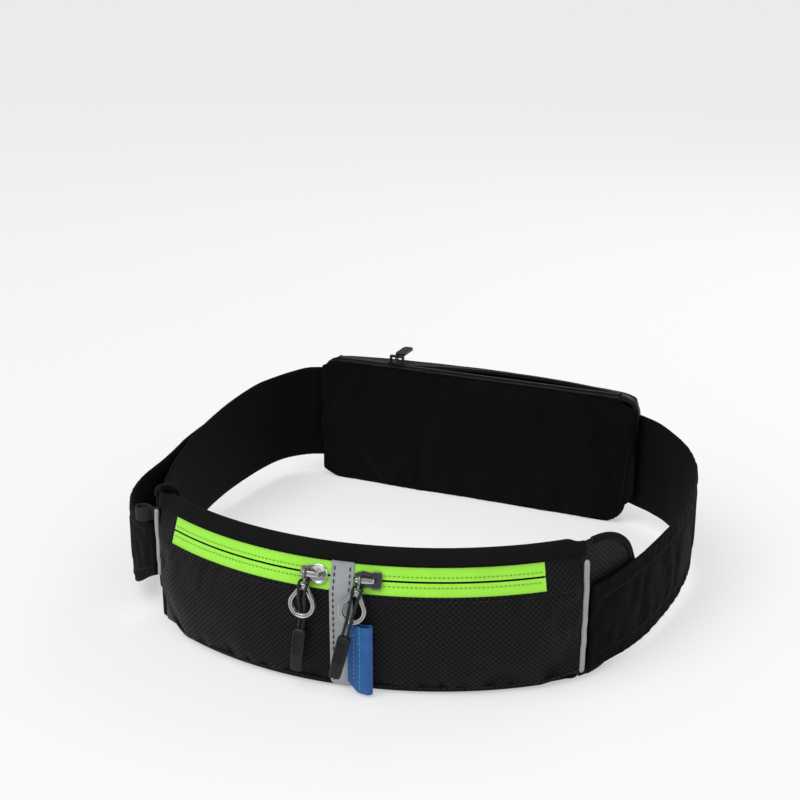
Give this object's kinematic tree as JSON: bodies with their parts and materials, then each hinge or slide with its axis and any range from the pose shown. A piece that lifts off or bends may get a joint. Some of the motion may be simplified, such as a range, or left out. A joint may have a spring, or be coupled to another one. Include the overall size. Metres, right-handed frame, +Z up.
{
  "type": "waist pack",
  "caption": "Fastened waist pack: shallow curved front pouch with zipped pockets, flat rear phone pouch, wide padded belts and a hook-and-loop tab.",
  "frame": {"origin": "on the resting surface, under the middle of the pack's bounding box (the pulls' cords and tips left out)", "axes": "+Z up, the front pouch faces -Y, +X to the right of someone facing the front pouch"},
  "size_m": [0.3264, 0.3174, 0.096],
  "materials": {
    "ripstop": "black textured diamond weave",
    "smooth_black": "smooth black stretch fabric",
    "mesh_back": "black textured fabric with smooth binding",
    "reflective": "light grey reflective fabric",
    "lime_tape": "lime green twill",
    "lime_coil": "lime green nylon coil",
    "lining_cloth": "thin black lining",
    "zip_stop": "black",
    "polished_metal": "polished",
    "black_cord": "black braided cord",
    "black_tip": "black moulded plastic",
    "blue_label": "blue woven ribbon",
    "black_webbing": "black ribbon",
    "neoprene": "matte black stretch neoprene",
    "hook_and_loop": "black hook and loop",
    "black_tape": "black",
    "black_coil": "black nylon coil",
    "black_metal": "black painted"
  },
  "bodies": {
    "pack": {"back_panel": "mesh_back", "bottom_panel": "smooth_black", "center_strip": "reflective", "front_panel": "ripstop", "left_end_panel": "ripstop", "left_piping": "reflective", "left_pocket_lining": "lining_cloth", "left_wing": "mesh_back", "left_zip_coil": "lime_coil", "left_zip_stop": "zip_stop", "left_zip_tape_lower": "lime_tape", "left_zip_tape_upper": "lime_tape", "pocket_divider": "lining_cloth", "rear_far_coil": "black_coil", "rear_far_tape": "black_tape", "rear_gusset": "neoprene", "rear_inner_panel": "neoprene", "rear_lining": "lining_cloth", "rear_near_coil": "black_coil", "rear_near_tape": "black_tape", "rear_outer_panel": "neoprene", "rear_zip_stop": "zip_stop", "right_belt": "neoprene", "right_end_panel": "ripstop", "right_piping": "reflective", "right_pocket_lining": "lining_cloth", "right_wing": "mesh_back", "right_zip_coil": "lime_coil", "right_zip_stop": "zip_stop", "right_zip_tape_lower": "lime_tape", "right_zip_tape_upper": "lime_tape", "top_band": "smooth_black", "webbing_loop": "black_webbing"},
    "left_slider": {"left_slider": "polished_metal"},
    "left_puller": {"left_puller": "polished_metal", "left_pull_cord": "black_cord", "left_pull_tip": "black_tip"},
    "right_slider": {"right_slider": "polished_metal"},
    "right_puller": {"right_puller": "polished_metal"},
    "right_pull": {"right_pull_cord": "black_cord", "right_pull_tip": "black_tip"},
    "label": {"side_label": "blue_label"},
    "left_belt": {"left_belt": "neoprene", "hook_patch": "hook_and_loop"},
    "closure_tab": {"closure_tab": "neoprene", "loop_patch": "hook_and_loop"},
    "rear_slider": {"rear_slider": "black_metal"},
    "rear_puller": {"rear_puller": "black_metal"}
  },
  "joints": [
    {"name": "left_zip", "type": "hinge", "parent": "pack", "child": "left_slider", "pos_m": [-0.0008, 0.04724, 0.064], "axis": [0, 0, -1], "range_deg": [0, 25.9]},
    {"name": "left_pull_swing", "type": "hinge", "parent": "left_slider", "child": "left_puller", "pos_m": [-0.01832, -0.15043, 0.06551], "axis": [-0.997, 0.0775, 0], "range_deg": [0, 110]},
    {"name": "right_zip", "type": "hinge", "parent": "pack", "child": "right_slider", "pos_m": [-0.0008, 0.04724, 0.064], "axis": [0, 0, 1], "range_deg": [0, 24.8], "deforming": ["side_label"]},
    {"name": "right_pull_swing", "type": "hinge", "parent": "right_slider", "child": "right_puller", "pos_m": [0.0114, -0.15082, 0.06551], "axis": [-0.9974, -0.0723, 0], "range_deg": [0, 110]},
    {"name": "right_cord_swing", "type": "hinge", "parent": "right_puller", "child": "right_pull", "pos_m": [0.01043, -0.15143, 0.06115], "axis": [-0.9974, -0.0723, 0], "range_deg": [0, 80], "deforming": ["right_pull_cord"]},
    {"name": "label_lift", "type": "hinge", "parent": "pack", "child": "label", "pos_m": [0.0044, -0.1507, 0.021], "axis": [0, 0, -1], "range_deg": [0, 20]},
    {"name": "belt_open", "type": "hinge", "parent": "pack", "child": "left_belt", "pos_m": [-0.10506, 0.14323, 0], "axis": [0, 0, -1], "range_deg": [0, 12]},
    {"name": "tab_peel", "type": "hinge", "parent": "pack", "child": "closure_tab", "pos_m": [-0.1252, -0.10167, 0], "axis": [0, 0, 1], "range_deg": [0, 100]},
    {"name": "rear_zip", "type": "slide", "parent": "pack", "child": "rear_slider", "axis": [0.991, -0.134, 0], "range_m": [-0.0304, 0.1454], "deforming": ["rear_far_coil", "rear_far_tape"]},
    {"name": "rear_pull_swing", "type": "hinge", "parent": "rear_slider", "child": "rear_puller", "pos_m": [-0.05062, 0.13385, 0.09315], "axis": [0.991, -0.134, 0], "range_deg": [0, 170]}
  ],
  "couplings": [
    {"joint": "tab_peel", "follows": "belt_open", "ratio": 8.33}
  ]
}
